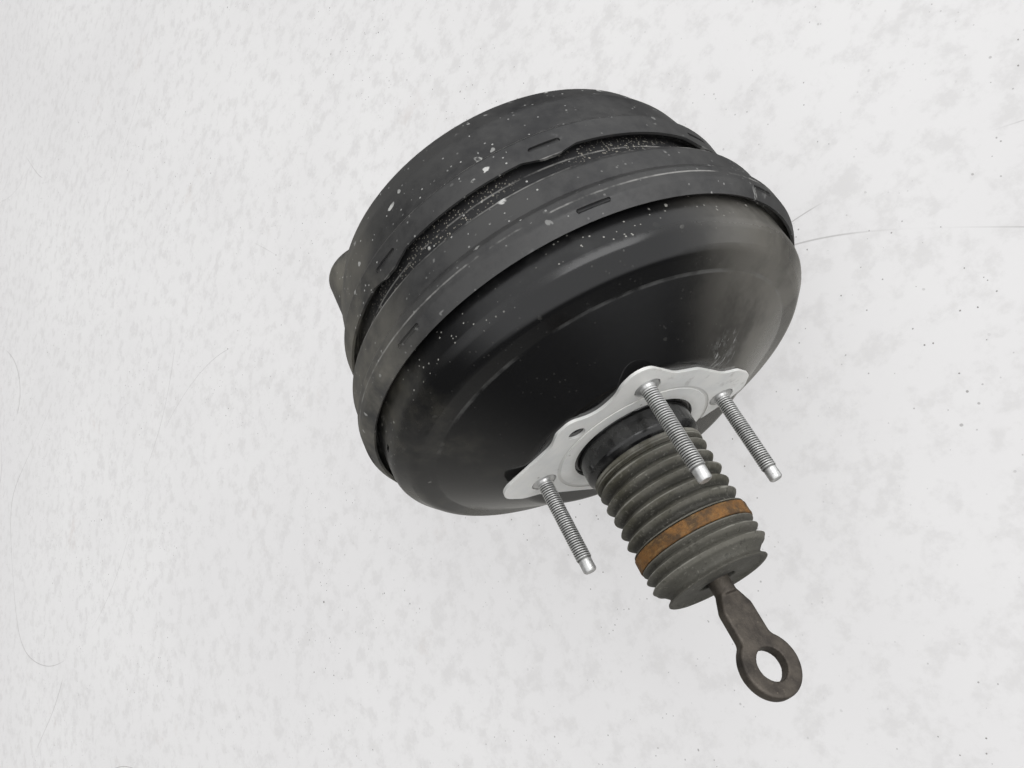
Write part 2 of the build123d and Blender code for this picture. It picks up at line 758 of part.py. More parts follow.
def boot_profile():
    """Outer (radius, y) points of the bellows, from the cuff to the rod end."""
    cuff_r = boot_peak_r - 0.2
    points = [(cuff_r, boot_cuff_y), (cuff_r, BOOT_FIRST_PEAK_Y + BOOT_PITCH * 0.6)]
    peaks = [BOOT_FIRST_PEAK_Y - BOOT_PITCH * i for i in range(BOOT_FRONT_FOLDS)]
    for peak in peaks:
        points.append((boot_valley_r, peak + BOOT_PITCH / 2))
        points.append((boot_peak_r, peak + 0.5))
        points.append((boot_peak_r, peak - 0.5))
    seat_r = boot_peak_r - RING_T
    points.append((boot_valley_r, ring_front_y + 2.6))
    points.append((seat_r, ring_front_y + 0.6))
    points.append((seat_r, ring_rear_y - 0.6))
    rear_peaks = [ring_rear_y - BOOT_REAR_GAP - BOOT_REAR_PITCH * i for i in range(BOOT_REAR_FOLDS)]
    for peak in rear_peaks:
        points.append((boot_valley_r, peak + BOOT_REAR_PITCH / 2))
        points.append((boot_peak_r, peak + 0.5))
        points.append((boot_peak_r, peak - 0.5))
    points.append((boot_waist_r, BOOT_END_Y + BOOT_LIP))
    points.append((boot_end_r, BOOT_END_Y + 1))
    points.append((boot_end_r, BOOT_END_Y))
    return points


def dust_boot():
    cuff_r = neck_seat_r + 0.15
    return turned(
        *boot_profile(),
        (ROD_END_R + FREE_CLEARANCE, BOOT_END_Y),
        (ROD_END_R + FREE_CLEARANCE, BOOT_END_Y + 2),
        (boot_waist_r - BOOT_WALL, BOOT_END_Y + 2),
        (boot_waist_r - BOOT_WALL, BOOT_END_Y + BOOT_LIP + 1),
        (boot_bore_r, BOOT_END_Y + BOOT_LIP + 6),
        (boot_bore_r, NECK_END_Y - FREE_CLEARANCE),
        (cuff_r, NECK_END_Y - FREE_CLEARANCE),
        (cuff_r, boot_cuff_y),
    )


def boot_ring():
    inner = boot_peak_r - RING_T + 0.15
    return ring(inner, boot_peak_r + 0.1, ring_rear_y, ring_front_y)


nodes = {
    "front_shell": front_shell(),
    "vacuum_grommet": vacuum_grommet(),
    "center_shell": center_shell(),
    "rear_shell": rear_shell(),
    "mounting_plate": mounting_plate(),
    "bulkhead_stud_1": bulkhead_stud(-STUD_X, STUD_Z),
    "bulkhead_stud_2": bulkhead_stud(STUD_X, STUD_Z),
    "bulkhead_stud_3": bulkhead_stud(STUD_X, -STUD_Z),
    "bulkhead_stud_4": bulkhead_stud(-STUD_X, -STUD_Z),
    "front_stud_1": front_stud(-FRONT_STUD_X),
    "front_stud_2": front_stud(FRONT_STUD_X),
    "front_reinforcement": front_reinforcement(),
    "neck_bearing": neck_bearing(),
    "neck_seal": neck_seal(),
    "bearing_retainer": bearing_retainer(),
    "divider_plate": divider_plate(),
    "divider_seal": divider_seal(),
    "rear_diaphragm": rear_diaphragm(),
    "front_diaphragm": front_diaphragm(),
    "rear_plate": rear_plate(),
    "front_plate": front_plate(),
    "rear_retainer": rear_retainer(),
    "front_retainer": front_retainer(),
    "valve_body": valve_body(),
    "valve_plunger": valve_plunger(),
    "stop_key": stop_key(),
    "poppet_valve": poppet_valve(),
    "poppet_retainer": poppet_retainer(),
    "reaction_disc": reaction_disc(),
    "output_rod": output_rod(),
    "return_spring": return_spring(),
    "poppet_spring": poppet_spring(),
    "input_spring": input_spring(),
    "air_filter": air_filter(),
    "silencer": silencer(),
    "spring_seat": spring_seat(),
    "input_pushrod": input_pushrod(),
    "dust_boot": dust_boot(),
    "boot_ring": boot_ring(),
}

os.makedirs("parts", exist_ok=True)
for name, shape in nodes.items():
    export_step(shape, f"parts/{name}.step")
    print(name, len(shape.solids()), round(shape.volume))
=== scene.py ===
import json
import math
import random

import bmesh
import bpy
from mathutils import Matrix, Vector


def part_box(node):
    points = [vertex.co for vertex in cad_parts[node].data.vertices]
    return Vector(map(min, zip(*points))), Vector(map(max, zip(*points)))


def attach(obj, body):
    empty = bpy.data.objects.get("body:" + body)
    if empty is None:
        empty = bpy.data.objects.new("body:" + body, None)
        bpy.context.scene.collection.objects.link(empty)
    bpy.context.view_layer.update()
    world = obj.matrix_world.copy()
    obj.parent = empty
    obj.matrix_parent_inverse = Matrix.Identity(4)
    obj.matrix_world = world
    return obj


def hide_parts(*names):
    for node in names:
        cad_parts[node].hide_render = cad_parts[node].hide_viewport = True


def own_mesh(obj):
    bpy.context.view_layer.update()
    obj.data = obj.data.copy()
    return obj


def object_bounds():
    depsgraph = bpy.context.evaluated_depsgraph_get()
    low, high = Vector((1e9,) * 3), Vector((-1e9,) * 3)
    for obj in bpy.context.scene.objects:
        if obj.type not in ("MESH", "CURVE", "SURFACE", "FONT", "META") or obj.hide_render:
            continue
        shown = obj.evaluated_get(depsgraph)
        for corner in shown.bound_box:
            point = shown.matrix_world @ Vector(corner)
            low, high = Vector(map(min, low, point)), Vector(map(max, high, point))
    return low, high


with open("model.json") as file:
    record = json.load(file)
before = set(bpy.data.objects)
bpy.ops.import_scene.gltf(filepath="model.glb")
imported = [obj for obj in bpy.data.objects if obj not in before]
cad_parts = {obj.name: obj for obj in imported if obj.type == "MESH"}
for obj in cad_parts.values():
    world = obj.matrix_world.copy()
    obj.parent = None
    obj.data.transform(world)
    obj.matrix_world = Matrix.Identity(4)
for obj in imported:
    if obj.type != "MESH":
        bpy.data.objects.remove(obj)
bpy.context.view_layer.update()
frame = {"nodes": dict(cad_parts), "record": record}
nodes = frame["nodes"]
print("frame loaded:", len(nodes), "nodes")

mm = 0.001


class Wire:
    # one output socket; arithmetic on it adds Math nodes
    def __init__(self, finish, socket):
        self.finish = finish
        self.socket = socket

    def math(self, operation, first, second):
        return self.finish.node("ShaderNodeMath", {"operation": operation}, {0: first, 1: second})

    def __add__(self, other):
        return self.math("ADD", self, other)

    def __radd__(self, other):
        return self.math("ADD", other, self)

    def __sub__(self, other):
        return self.math("SUBTRACT", self, other)

    def __rsub__(self, other):
        return self.math("SUBTRACT", other, self)

    def __mul__(self, other):
        return self.math("MULTIPLY", self, other)

    def __rmul__(self, other):
        return self.math("MULTIPLY", other, self)

    def __truediv__(self, other):
        return self.math("DIVIDE", self, other)

    def __rtruediv__(self, other):
        return self.math("DIVIDE", other, self)

    def __pow__(self, other):
        return self.math("POWER", self, other)


class Finish:
    # one procedural material, painted in the object's own coordinates in metres
    def __init__(self, name):
        self.material = bpy.data.materials.new(name)
        self.material.use_nodes = True
        self.tree = self.material.node_tree
        self.tree.nodes.clear()
        self.shader = self.tree.nodes.new("ShaderNodeBsdfPrincipled")
        output = self.tree.nodes.new("ShaderNodeOutputMaterial")
        self.tree.links.new(self.shader.outputs[0], output.inputs[0])
        self.place = self.node("ShaderNodeTexCoord", output="Object")

    def node(self, kind, settings=None, inputs=None, output=0):
        made = self.tree.nodes.new(kind)
        for key, value in (settings or {}).items():
            setattr(made, key, value)
        for key, value in (inputs or {}).items():
            self.feed(made.inputs[key], value)
        return Wire(self, made.outputs[output])

    def feed(self, socket, value):
        if isinstance(value, Wire):
            self.tree.links.new(value.socket, socket)
        elif isinstance(value, tuple) and socket.type == "RGBA":
            socket.default_value = (*value, 1.0)
        else:
            socket.default_value = value

    def paint(self, **sockets):
        for key, value in sockets.items():
            self.feed(self.shader.inputs[key.replace("_", " ")], value)

    def noise(self, scale, detail=4.0, roughness=0.55, stretch=None):
        place = self.place
        if stretch:
            place = self.node("ShaderNodeMapping", {}, {"Vector": place, "Scale": stretch})
        return self.node("ShaderNodeTexNoise", {}, {
            "Vector": place, "Scale": scale, "Detail": detail, "Roughness": roughness})

    def step(self, value, low, high):
        # 0 below low, 1 above high, smooth between
        return self.node("ShaderNodeMapRange", {"interpolation_type": "SMOOTHSTEP"}, {
            "Value": value, "From Min": low, "From Max": high})

    def mix(self, factor, first, second):
        return self.node("ShaderNodeMix", {"data_type": "RGBA"}, {
            0: factor, 6: first, 7: second}, output=2)

    def shaken(self, scale, amount):
        # the same place, pushed about by noise, so that dots turn into splashes
        noise = self.node("ShaderNodeTexNoise", {}, {
            "Vector": self.place, "Scale": scale, "Detail": 3.0}, output="Color")
        push = self.node("ShaderNodeVectorMath", {"operation": "SUBTRACT"}, {
            0: noise, 1: (0.5, 0.5, 0.5)})
        push = self.node("ShaderNodeVectorMath", {"operation": "MULTIPLY"}, {
            0: push, 1: (amount, amount, amount)})
        return self.node("ShaderNodeVectorMath", {"operation": "ADD"}, {0: self.place, 1: push})

    def specks(self, scale, size, share, place=None):
        # round dots in a share of the cells of a random grid
        cell = {"Vector": place or self.place, "Scale": scale}
        distance = self.node("ShaderNodeTexVoronoi", {}, cell)
        tint = self.node("ShaderNodeTexVoronoi", {}, cell, output="Color")
        pick = self.node("ShaderNodeSeparateColor", {}, {"Color": tint})
        dot = 1 - self.step(distance, size * 0.7, size)
        return dot * self.step(pick, 1 - share - 0.02, 1 - share + 0.02)

    def size(self, value):
        return self.node("ShaderNodeMath", {"operation": "ABSOLUTE"}, {0: value})

    def line(self, value, centre, half):
        # 1 on a thin line where value is near centre
        return 1 - self.step(self.size(value - centre), half * 0.4, half)

    def spot(self, centre, reach):
        # a soft round place on the surface
        away = self.node("ShaderNodeVectorMath", {"operation": "DISTANCE"}, {
            0: self.place, 1: centre}, output="Value")
        return 1 - self.step(away, reach * 0.45, reach)

    def along(self, axis):
        return self.node("ShaderNodeSeparateXYZ", {}, {"Vector": self.place}, output=axis)

    def radius(self):
        # distance from the booster's axis
        sideways, upwards = self.along("X"), self.along("Z")
        return (sideways * sideways + upwards * upwards) ** 0.5

    def toward(self, x, z):
        # how far a point lies in a direction across the axis
        return self.along("X") * x + self.along("Z") * z

    def bump(self, height, strength, distance):
        normal = self.node("ShaderNodeBump", {}, {
            "Height": height, "Strength": strength, "Distance": distance})
        self.feed(self.shader.inputs["Normal"], normal)


# directions across the axis, as (x, z): the flank where dust and a painted floor reflection lie on the
# drum and dish, the side where pale dust and a painted floor reflection lie on the dish, and the upper
# side toward the lamp, away from which the drum's painted reflection grows
dustAndReflectionFlank, dustAndReflectionSide, upperSide = (-0.84, 0.545), (0.66, -0.75), (0.86, 0.50)


def drumPaint():
    # matte worn black of the two bands, with white splashes and dust in the groove, painted shade that
    # keeps the groove dark, and dust with a painted floor reflection on the low side away from the
    # lamp
    look = {"black": (0.017, 0.017, 0.018), "film": (0.050, 0.0495, 0.0485),
            "tan": (0.225, 0.212, 0.178), "splash": (0.52, 0.52, 0.50), "sand": (0.36, 0.34, 0.29)}
    paint = Finish("drumPaint")
    radius = paint.radius()
    depth = paint.along("Y")
    flank, height = paint.toward(*dustAndReflectionFlank), paint.toward(*upperSide)
    # low: the flank and the side away from the lamp, where dust and a painted floor reflection lie
    low = paint.step(flank, 0.050, 0.112) + (1 - paint.step(height, -0.125, -0.045)) * 0.6
    front = paint.step(depth, 0.0790, 0.0815) * (1 - paint.step(depth, 0.0990, 0.1010))
    groove = front * (1 - paint.step(radius, 0.1165, 0.1185))
    under = (1 - paint.step(depth, 0.0470, 0.0490)) * (1 - paint.step(radius, 0.1215, 0.1230))
    clouds = paint.noise(16, 5, 0.6)
    fine = paint.noise(180, 4, 0.65)
    # the groove keeps little film, so painted shade darkens this recess
    film = paint.step(clouds * 0.7 + fine * 0.3, 0.30, 0.58) * (1 - groove * 0.9)
    color = paint.mix(film, look["black"], look["film"])
    # this colour is partly real dust and partly a painted reflection of the pale floor
    dust = paint.step(paint.noise(24, 5, 0.65), 0.38, 0.66) * low * (1 - groove * 0.7)
    color = paint.mix(dust * 0.8, color, look["tan"])
    brush = paint.noise(55, 6, 0.72, (1.0, 9.0, 1.0))
    scuff = paint.step(brush, 0.62, 0.72) * paint.step(clouds, 0.48, 0.60)
    color = paint.mix(scuff * 0.5, color, (0.17, 0.17, 0.165))
    edges = (paint.line(depth, 0.1089, 0.0007) + paint.line(depth, 0.0776, 0.0007)
             + paint.line(depth, 0.0572, 0.0006) + paint.line(depth, 0.0926, 0.0006))
    worn = edges * paint.step(paint.noise(45, 4, 0.7), 0.40, 0.60)
    color = paint.mix(worn * 0.75, color, (0.30, 0.295, 0.28))
    splashed = paint.shaken(70, 0.017)
    patches = paint.step(paint.noise(13, 3), 0.42, 0.56)
    drops = paint.specks(62, 0.20, 0.24, splashed) * patches
    drops = drops + paint.specks(145, 0.25, 0.13, paint.shaken(120, 0.007)) * (patches * 0.75 + 0.25)
    drops = drops + paint.specks(430, 0.27, 0.12) * (patches * 0.6 + 0.2)
    drops = drops * paint.step(paint.noise(240, 4), 0.36, 0.50)
    color = paint.mix(drops, color, look["splash"])
    haze = paint.specks(34, 0.22, 0.10, paint.shaken(40, 0.02)) * paint.step(fine, 0.42, 0.62)
    color = paint.mix(haze * 0.35, color, (0.35, 0.35, 0.34))
    grains = paint.specks(640, 0.34, 0.26) + paint.specks(1100, 0.40, 0.24)
    grains = grains * (groove * paint.step(paint.noise(20, 3), 0.34, 0.56) + under * 0.4)
    color = paint.mix(grains * 0.85, color, look["sand"])
    rough = 0.34 + film * 0.12 + dust * 0.2 + drops * 0.3 + groove * 0.3
    paint.paint(Base_Color=color, Roughness=rough)
    paint.shader.inputs["Specular IOR Level"].default_value = 0.42
    paint.bump(fine * 0.3 + clouds * 0.2 + drops * 0.6 + grains, 0.18, 0.0008)
    return paint.material


def dishPaint():
    # glossy black of the rear shell and its neck, with dust and painted floor reflections on two sides
    # and a painted highlight along the crease
    look = {"black": (0.0055, 0.0055, 0.0058), "film": (0.032, 0.032, 0.031),
            "tan": (0.150, 0.140, 0.110), "chip": (0.50, 0.49, 0.45)}
    paint = Finish("dishPaint")
    radius = paint.radius()
    depth = paint.along("Y")
    wall = paint.step(depth, 0.030, 0.036)
    neck = 1 - paint.step(depth, -0.002, 0.0015)
    clouds = paint.noise(14, 5, 0.62)
    fine = paint.noise(210, 4, 0.65)
    # dust and a painted floor reflection on the low flank, in the film and in the yellow-brown colour
    # below
    low = paint.step(paint.toward(*dustAndReflectionFlank), 0.045, 0.112)
    film = paint.step(clouds * 0.8 + fine * 0.2, 0.42, 0.66)
    film = film * (wall * 0.75 + low * 0.55 + neck * 0.5 + 0.06)
    color = paint.mix(film, look["black"], look["film"])
    tan = paint.step(paint.noise(19, 5, 0.65), 0.45, 0.70) * low
    color = paint.mix(tan * 0.55, color, look["tan"])
    drops = paint.specks(70, 0.12, 0.07, paint.shaken(80, 0.008)) * (wall * 0.7 + 0.3)
    drops = drops + paint.specks(190, 0.22, 0.11, paint.shaken(150, 0.005)) * (wall * 0.9 + 0.05)
    drops = drops + paint.specks(520, 0.26, 0.14) * (wall * 0.7 + 0.05)
    drops = drops * paint.step(paint.noise(28, 2), 0.40, 0.54)
    color = paint.mix(drops * 0.75, color, look["chip"])
    # pale dust and a painted floor reflection toward one side of the dish, by the plate
    cloudy = 0.5 + 0.5 * paint.step(clouds, 0.40, 0.60)
    paleDustAndReflection = paint.step(paint.toward(*dustAndReflectionSide), 0.012, 0.075) * cloudy
    color = paint.mix(paleDustAndReflection * 0.62 * (1 - neck), color, (0.200, 0.190, 0.168))
    rubbed = paint.spot((0.0665, 0.0045, -0.001), 0.0135)
    strokes = paint.noise(260, 3, 0.6, (0.22, 1.0, 3.2))
    rub = rubbed * (paint.step(strokes, 0.60, 0.66) * 0.7 + paint.step(fine, 0.45, 0.7) * 0.25)
    color = paint.mix(rub, color, (0.33, 0.33, 0.32))
    # painted highlight along the crease of the dish, broken by noise
    creaseHighlight = paint.line(radius, 0.1012, 0.0012) * paint.step(paint.noise(38, 4), 0.42, 0.62)
    color = paint.mix(creaseHighlight * 0.35, color, (0.16, 0.16, 0.155))
    blotch = paint.step(paint.noise(75, 3, 0.55), 0.44, 0.60) * neck
    color = paint.mix(blotch * 0.5, color, (0.036, 0.036, 0.034))
    rough = 0.10 + film * 0.24 + tan * 0.25 + drops * 0.3 + wall * 0.16 + blotch * 0.12 + fine * 0.05
    paint.paint(Base_Color=color, Roughness=rough)
    paint.bump(fine * 0.2 + clouds * 0.5 + drops * 0.6 + blotch * 0.5, 0.10, 0.0008)
    return paint.material


def plateCoat():
    # pale zinc of the mounting plate, stained at one lobe and round its hole
    look = {"pale": (0.80, 0.795, 0.765), "cool": (0.70, 0.705, 0.69), "grime": (0.17, 0.15, 0.12)}
    coat = Finish("plateCoat")
    clouds = coat.noise(38, 5, 0.6)
    fine = coat.noise(420, 4, 0.6)
    color = coat.mix(coat.step(clouds, 0.36, 0.7), look["pale"], look["cool"])
    stain = coat.step(coat.noise(70, 6, 0.7), 0.56, 0.72)
    lobe = coat.step(coat.along("X"), 0.034, 0.060)
    collar = 1 - coat.step(coat.radius(), 0.0345, 0.0385)
    rim = coat.line(coat.radius(), 0.0432, 0.0012)
    grime = stain * (lobe * 0.60 + 0.10) + collar * 0.35 * fine + rim * 0.22
    grime = grime + coat.specks(260, 0.2, 0.08) * 0.5
    grime = grime + coat.step(coat.noise(200, 5, 0.7, (1, 1, 0.25)), 0.66, 0.74) * 0.3
    color = coat.mix(grime, color, look["grime"])
    coat.paint(Base_Color=color, Metallic=0.12, Roughness=0.40 + clouds * 0.16)
    coat.bump(fine * 0.4 + clouds * 0.6, 0.2, 0.0006)
    return coat.material


def threadSteel():
    # zinc on the six studs: bright crests and tips, dark thread roots
    look = {"crest": (0.70, 0.70, 0.69), "root": (0.095, 0.095, 0.09), "shade": (0.50, 0.50, 0.49)}
    steel = Finish("threadSteel")
    depth = steel.along("Y")
    back = 1 - steel.step(depth, 0.060, 0.070)
    across = steel.size(steel.along("X"))
    upward = steel.size(steel.along("Z"))
    spots = {"bulkhead": (0.039, 0.034), "front": 0.042}   # where the studs stand, either side
    sideBulkhead, upBulkhead = across - spots["bulkhead"][0], upward - spots["bulkhead"][1]
    sideFront = across - spots["front"]
    nearBulkhead = (sideBulkhead * sideBulkhead + upBulkhead * upBulkhead) ** 0.5
    nearFront = (sideFront * sideFront + upward * upward) ** 0.5
    near = nearBulkhead * back + nearFront * (1 - back)
    plain = steel.step(near, 0.0042, 0.0044)
    tip = 1 - steel.step(depth, -0.0463, -0.0453)
    crest = steel.step(near, 0.00345, 0.00385)
    crest = 1 - (1 - crest) * (1 - plain) * (1 - tip)
    clouds = steel.noise(160, 4, 0.6)
    fine = steel.noise(1400, 3, 0.6)
    color = steel.mix(steel.step(clouds, 0.36, 0.66), look["crest"], look["shade"])
    color = steel.mix(crest, look["root"], color)
    dirt = steel.step(steel.noise(420, 4, 0.7), 0.60, 0.70)
    color = steel.mix(dirt * 0.45, color, (0.13, 0.125, 0.115))
    steel.paint(Base_Color=color, Metallic=0.65, Roughness=0.32 + clouds * 0.12 + (1 - crest) * 0.25)
    steel.bump(fine, 0.12, 0.0003)
    return steel.material


def steelFinish(name, look):
    # plain metal with clouds, grain and a little dirt
    steel = Finish(name)
    clouds = steel.noise(look["cloud"], 5, 0.6)
    fine = steel.noise(look["grain"], 4, 0.65)
    color = steel.mix(steel.step(clouds, 0.35, 0.68), look["light"], look["dark"])
    color = steel.mix(steel.step(fine, 0.60, 0.78) * look["dirt"], color, look["soil"])
    steel.paint(Base_Color=color, Metallic=look["metal"],
                Roughness=look["rough"] + clouds * 0.14 + fine * 0.06)
    steel.bump(fine * 0.5 + clouds * 0.5, look["pit"], 0.0006)
    return steel.material


def rustedBand():
    # orange brown rust with dark scabs
    rust = Finish("rustedBand")
    clouds = rust.noise(95, 6, 0.68)
    streaks = rust.noise(150, 5, 0.65, (1.0, 2.2, 1.0))
    fine = rust.noise(1000, 4, 0.7)
    color = rust.mix(rust.step(clouds, 0.38, 0.60), (0.215, 0.098, 0.022), (0.072, 0.040, 0.016))
    color = rust.mix(rust.step(streaks, 0.54, 0.66) * 0.6, color, (0.250, 0.145, 0.050))
    color = rust.mix(rust.step(fine, 0.56, 0.68) * 0.55, color, (0.045, 0.027, 0.016))
    rust.paint(Base_Color=color, Roughness=0.66 + clouds * 0.2)
    rust.bump(fine * 0.6 + clouds * 0.4, 0.6, 0.0009)
    return rust.material


def bootRubber():
    # olive grey rubber with dust: painted highlight on the thin crests, painted shade in the valleys
    # and round the rod's hole
    look = {"grey": (0.112, 0.107, 0.089), "olive": (0.062, 0.058, 0.040),
            "deep": (0.012, 0.011, 0.008), "crest": (0.33, 0.322, 0.285)}
    rubber = Finish("bootRubber")
    clouds = rubber.noise(40, 5, 0.6)
    fine = rubber.noise(600, 5, 0.65)
    radius = rubber.radius()
    depth = rubber.along("Y")
    rear = 1 - rubber.step(depth, -0.0660, -0.0560)
    side = rubber.step(clouds + rear * 0.16, 0.36, 0.62)
    color = rubber.mix(side, look["olive"], look["grey"])
    # painted shade in the fold valleys, weaker at the rear
    valley = 1 - rubber.step(radius, 0.0272, 0.0292)
    color = rubber.mix(valley * (1 - rear * 0.5) * 0.75, color, look["deep"])
    # painted highlight along the fold crests, broken by noise
    crest = rubber.step(radius, 0.0299, 0.0304) * rubber.step(rubber.noise(60, 3), 0.34, 0.56)
    color = rubber.mix(crest * 0.65, color, look["crest"])
    patches = rubber.step(rubber.noise(120, 4), 0.45, 0.60)
    dust = rubber.step(fine, 0.54, 0.70) * (0.35 + 0.45 * patches)
    color = rubber.mix(dust * 0.6, color, (0.27, 0.262, 0.225))
    grit = rubber.step(rubber.noise(330, 5, 0.7), 0.56, 0.66)
    color = rubber.mix(grit * 0.5, color, look["deep"])
    color = rubber.mix(rubber.specks(300, 0.2, 0.08) * 0.6, color, (0.03, 0.03, 0.025))
    # painted shade round the rod's hole in the end disc
    hole = (1 - rubber.step(radius, 0.0075, 0.0110)) * (1 - rubber.step(depth, -0.0800, -0.0780))
    color = rubber.mix(hole * 0.6, color, (0.025, 0.025, 0.022))
    rubber.paint(Base_Color=color, Roughness=0.58 + fine * 0.22)
    rubber.bump(fine * 0.6 + clouds * 0.6, 0.45, 0.0009)
    return rubber.material


def mattePiece(name, light, dark, rough):
    # dull rubber or plastic
    piece = Finish(name)
    clouds = piece.noise(36, 5, 0.6)
    fine = piece.noise(600, 4, 0.65)
    color = piece.mix(piece.step(clouds, 0.35, 0.68), light, dark)
    piece.paint(Base_Color=color, Roughness=rough + fine * 0.15)
    piece.bump(fine, 0.3, 0.0005)
    return piece.material


def foamFinish():
    # open cells, with painted shade inside each cell
    foam = Finish("filterFoam")
    cells = foam.node("ShaderNodeTexVoronoi", {}, {"Vector": foam.place, "Scale": 900.0})
    # painted shade at the middle of each cell, where the bump makes a pit
    color = foam.mix(foam.step(cells, 0.15, 0.55), (0.20, 0.19, 0.15), (0.62, 0.60, 0.52))
    foam.paint(Base_Color=color, Roughness=0.9)
    foam.bump(cells, 0.8, 0.001)
    return foam.material


finishes = {
    "shell_paint": drumPaint(),
    "plate_finish": plateCoat(),
    "zinc_steel": threadSteel(),
    "plain_steel": steelFinish("plainSteel", {
        "light": (0.45, 0.45, 0.44), "dark": (0.30, 0.30, 0.29), "soil": (0.12, 0.10, 0.08),
        "cloud": 30.0, "grain": 500.0, "dirt": 0.4, "metal": 0.9, "rough": 0.35, "pit": 0.2}),
    "spring_steel": steelFinish("springSteel", {
        "light": (0.26, 0.26, 0.27), "dark": (0.15, 0.15, 0.15), "soil": (0.06, 0.05, 0.04),
        "cloud": 60.0, "grain": 600.0, "dirt": 0.4, "metal": 0.9, "rough": 0.32, "pit": 0.15}),
    "rusty_steel": rustedBand(),
    "forged_steel": steelFinish("forgedSteel", {
        "light": (0.098, 0.084, 0.069), "dark": (0.040, 0.034, 0.029), "soil": (0.25, 0.215, 0.17),
        "cloud": 85.0, "grain": 700.0, "dirt": 0.45, "metal": 0.55, "rough": 0.42, "pit": 0.9}),
    "boot_rubber": bootRubber(),
    "black_rubber": mattePiece("blackRubber", (0.022, 0.022, 0.022), (0.035, 0.034, 0.032), 0.6),
    "body_plastic": mattePiece("bodyPlastic", (0.035, 0.035, 0.036), (0.050, 0.049, 0.047), 0.4),
    "filter_foam": foamFinish(),
}
slotOf = {part["node"]: part["material_slot"] for part in frame["record"]["subparts"]}
for name, part in nodes.items():
    part.data.materials.clear()
    part.data.materials.append(finishes[slotOf[name]])
nodes["rear_shell"].data.materials[0] = dishPaint()
print("finishes made:", len(finishes) + 1)


def newPiece(name, mesh, slot, body, *stands):
    # a scene object that rides on a body and stands in for CAD nodes
    piece = bpy.data.objects.new(name, mesh)
    bpy.context.scene.collection.objects.link(piece)
    mesh.materials.append(finishes[slot])
    if stands:
        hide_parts(*stands)
    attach(piece, body)
    return piece


def smoothMesh(work, name, angle=32.0):
    # finish a bmesh: outward normals, smooth faces, sharp edges above the angle
    bmesh.ops.recalc_face_normals(work, faces=work.faces)
    for face in work.faces:
        face.smooth = True
    for edge in work.edges:
        if len(edge.link_faces) == 2 and edge.calc_face_angle() > math.radians(angle):
            edge.smooth = False
    mesh = bpy.data.meshes.new(name)
    work.to_mesh(mesh)
    work.free()
    return mesh


def forgedMesh(name, source, voxel, passes):
    # the piece's own solid, remeshed and softened as a forging is
    blank = bpy.data.objects.new(name, source.data.copy())
    blank.data.transform(source.matrix_world)
    bpy.context.scene.collection.objects.link(blank)
    remesh = blank.modifiers.new("remesh", "REMESH")
    remesh.mode = "VOXEL"
    remesh.voxel_size = voxel
    remesh.use_smooth_shade = True
    soften = blank.modifiers.new("soften", "SMOOTH")
    soften.factor = 0.5
    soften.iterations = passes
    shaped = blank.evaluated_get(bpy.context.evaluated_depsgraph_get())
    mesh = bpy.data.meshes.new_from_object(shaped)
    mesh.materials.clear()
    bpy.data.objects.remove(blank)
    return mesh


def turnedMesh(name, rows, segments, closed=False, x=0.0, z=0.0, radiusAt=None, angle=32.0):
    # rows of (radius, y) in millimetres turned about an axis parallel to the booster's
    work = bmesh.new()
    rings = []
    for index, (radius, y) in enumerate(rows):
        if radius < 1e-6:
            rings.append([work.verts.new((x * mm, y * mm, z * mm))])
            continue
        turn = []
        for step in range(segments):
            angleNow = 2 * math.pi * step / segments
            reach = radiusAt(index, radius, y, angleNow) if radiusAt else radius
            turn.append(work.verts.new(((x + reach * math.sin(angleNow)) * mm, y * mm,
                                        (z + reach * math.cos(angleNow)) * mm)))
        rings.append(turn)
    pairs = list(zip(rings, rings[1:]))
    if closed:
        pairs.append((rings[-1], rings[0]))
    for first, second in pairs:
        for step in range(segments):
            after = (step + 1) % segments
            if len(first) == 1:
                work.faces.new((first[0], second[step], second[after]))
            elif len(second) == 1:
                work.faces.new((first[step], second[0], first[after]))
            else:
                work.faces.new((first[step], second[step], second[after], first[after]))
    return smoothMesh(work, name, angle)


def threadedRows(major, y0, y1):
    # eight rows to a millimetre, enough for the thread's flanks
    count = int(abs(y1 - y0) * 8)
    return [(major, y0 + (y1 - y0) * index / count) for index in range(count + 1)]


def threadedStud(name, x, z, size, body, *stands):
    # plain shank rows, a helical thread, then the plain tip
    before = size["before"]
    thread = threadedRows(size["major"], size["threadStart"], size["threadEnd"])
    after = size["after"]
    rows = before + thread + after
    first = len(before)
    last = first + len(thread) - 1

    def reach(index, radius, y, turn):
        if index <= first or index >= last:
            return radius if index < first or index > last else size["major"] - size["depth"] * 0.6
        phase = (y / size["pitch"] + turn / (2 * math.pi)) % 1.0
        ridge = 1 - abs(2 * phase - 1)
        crest = min(1.0, max(0.0, ridge * 1.45 - 0.12))
        fade = min(1.0, min(index - first, last - index) / 10.0)
        return size["major"] - size["depth"] * (1 - crest) * fade - 0.02

    mesh = turnedMesh(name, rows, 44, x=x, z=z, radiusAt=reach, angle=38.0)
    return newPiece(name, mesh, "zinc_steel", body, *stands)


studSize = {
    "major": 4.0, "depth": 0.68, "pitch": 1.25, "threadStart": -1.6, "threadEnd": -44.9,
    "before": [(0, 5.9), (9.0, 5.9), (9.0, 2.9), (4.6, 2.9), (4.6, 1.5), (6.7, 1.5), (6.25, 0.5),
               (6.1, 0.3), (5.2, 0.2), (4.05, 0.15), (4.0, 0.0)],
    "after": [(3.4, -46.1), (3.4, -51.2), (2.8, -52.0), (0, -52.0)],
}
studSpots = {"bulkhead_stud_1": (-39, 34), "bulkhead_stud_2": (39, 34),
             "bulkhead_stud_3": (39, -34), "bulkhead_stud_4": (-39, -34)}
for node, (x, z) in studSpots.items():
    threadedStud("threaded_" + node, x, z, studSize, "housing", node)

